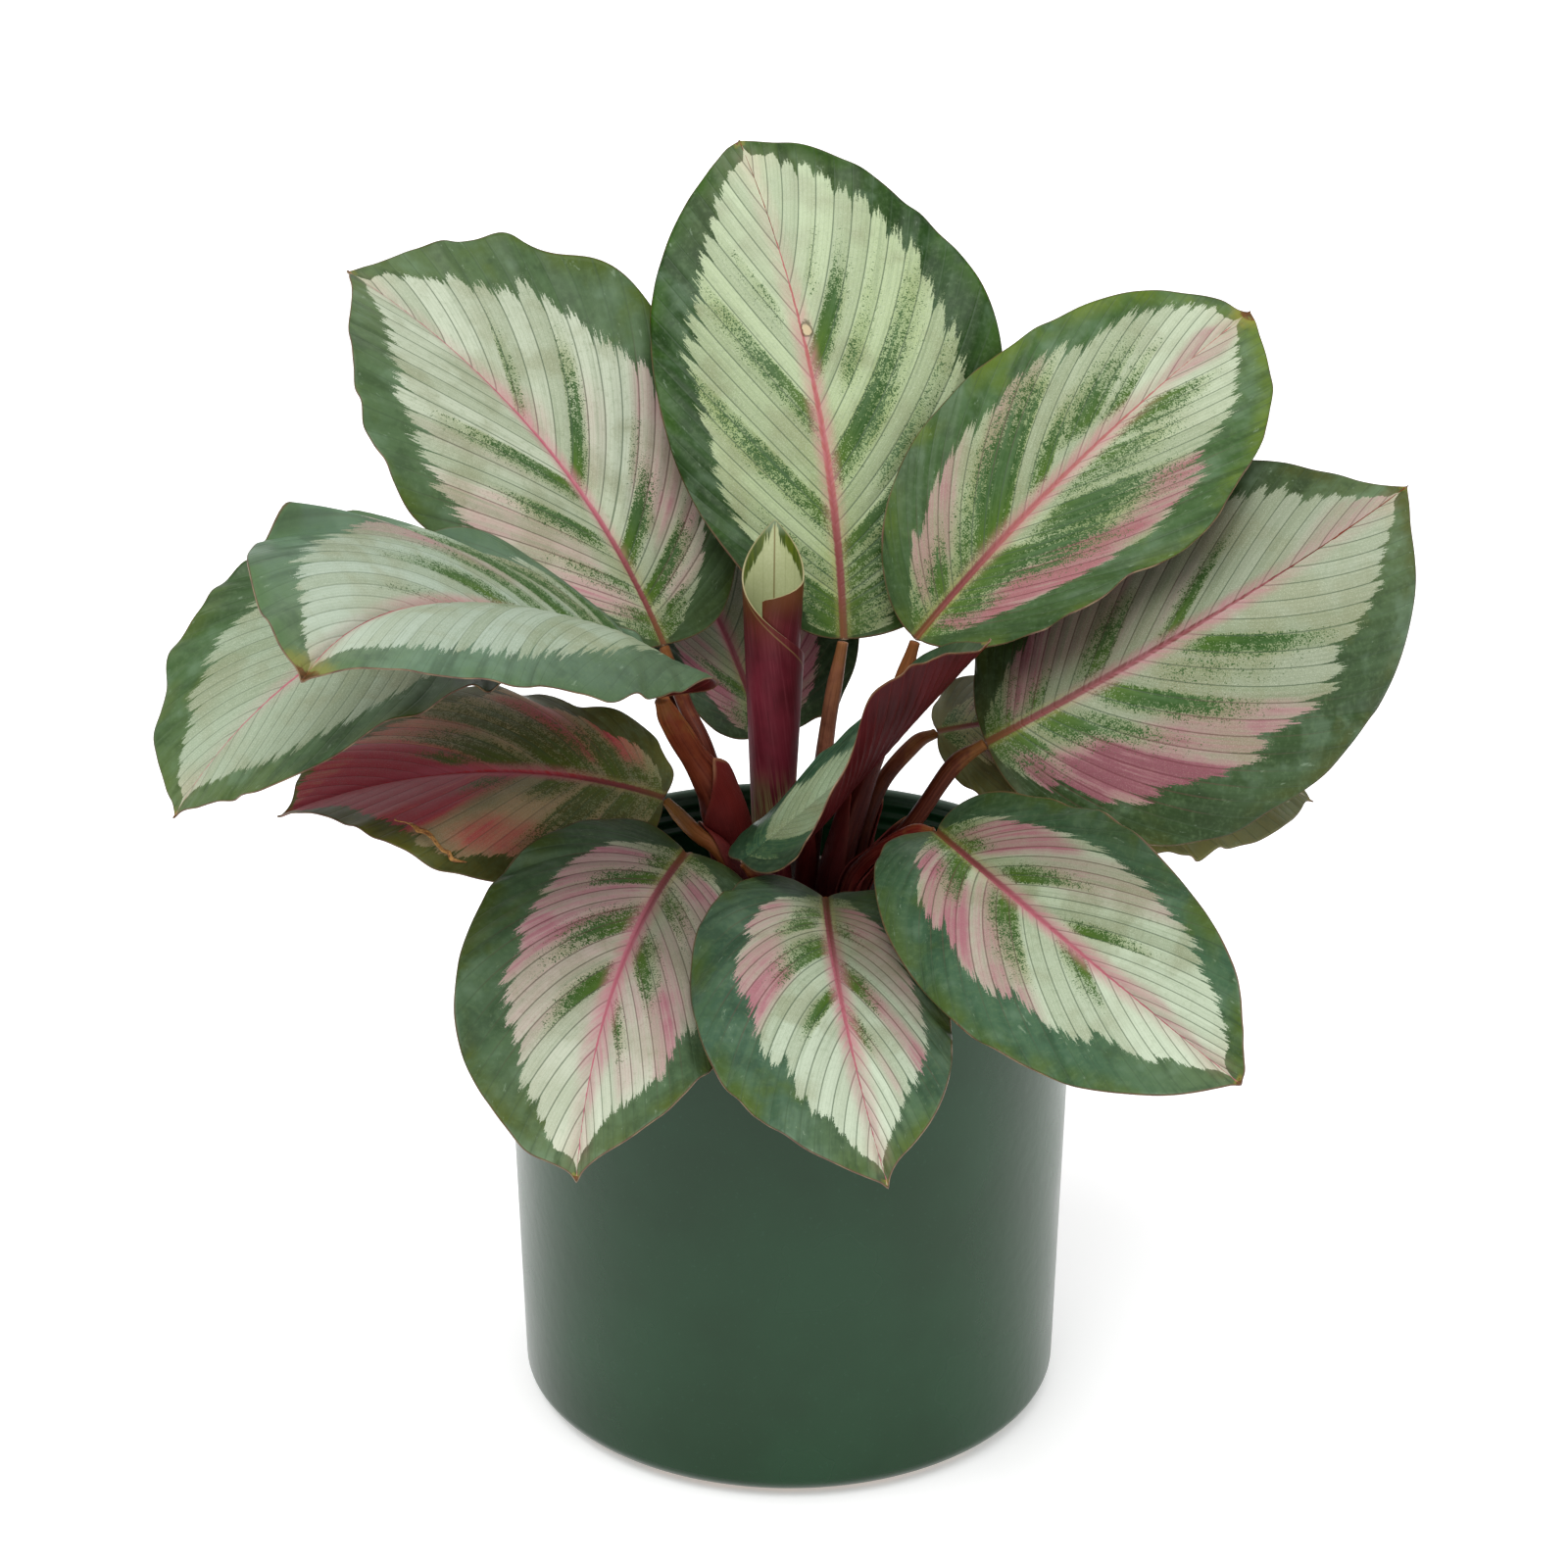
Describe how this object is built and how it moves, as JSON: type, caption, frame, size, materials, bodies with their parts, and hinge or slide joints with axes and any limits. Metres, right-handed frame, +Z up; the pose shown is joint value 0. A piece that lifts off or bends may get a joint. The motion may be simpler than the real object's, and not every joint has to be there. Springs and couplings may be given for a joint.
{
  "type": "potted plant",
  "caption": "Potted foliage plant: broad patterned leaves on slim stalks, with a furled leaf, in a plain straight-sided pot.",
  "frame": {"origin": "centre of the flat base of the pot", "axes": "+Z up along the pot's axis, -Y towards the viewer of the plant's front, +X to that viewer's right"},
  "size_m": [0.3431, 0.2498, 0.3386],
  "materials": {
    "pot_glaze": "satin green glaze on fired clay",
    "potting_mix": "dark damp potting mix",
    "stalk": "red-brown smooth stalk",
    "blade": "satin leaf, silver green with dark margin and rosy veins",
    "furled_blade": "satin leaf, burgundy outside and pale green inside"
  },
  "bodies": {
    "root": {"pot": "pot_glaze", "soil": "potting_mix", "stalk_top": "stalk", "stalk_upper_left": "stalk", "stalk_upper_right": "stalk", "stalk_right": "stalk", "stalk_lower_right": "stalk", "stalk_front": "stalk", "stalk_lower_left": "stalk", "stalk_left": "stalk", "stalk_arched": "stalk", "stalk_far_left": "stalk", "stalk_back": "stalk", "stalk_right_back": "stalk", "stalk_twisted": "stalk", "stalk_furled": "stalk", "blade_top": "blade", "blade_upper_left": "blade", "blade_upper_right": "blade", "blade_right": "blade", "blade_lower_right": "blade", "blade_front": "blade", "blade_lower_left": "blade", "blade_left": "blade", "blade_arched": "blade", "blade_far_left": "blade", "blade_back": "blade", "blade_right_back": "blade", "blade_twisted": "blade", "blade_furled": "furled_blade"}
  },
  "joints": []
}
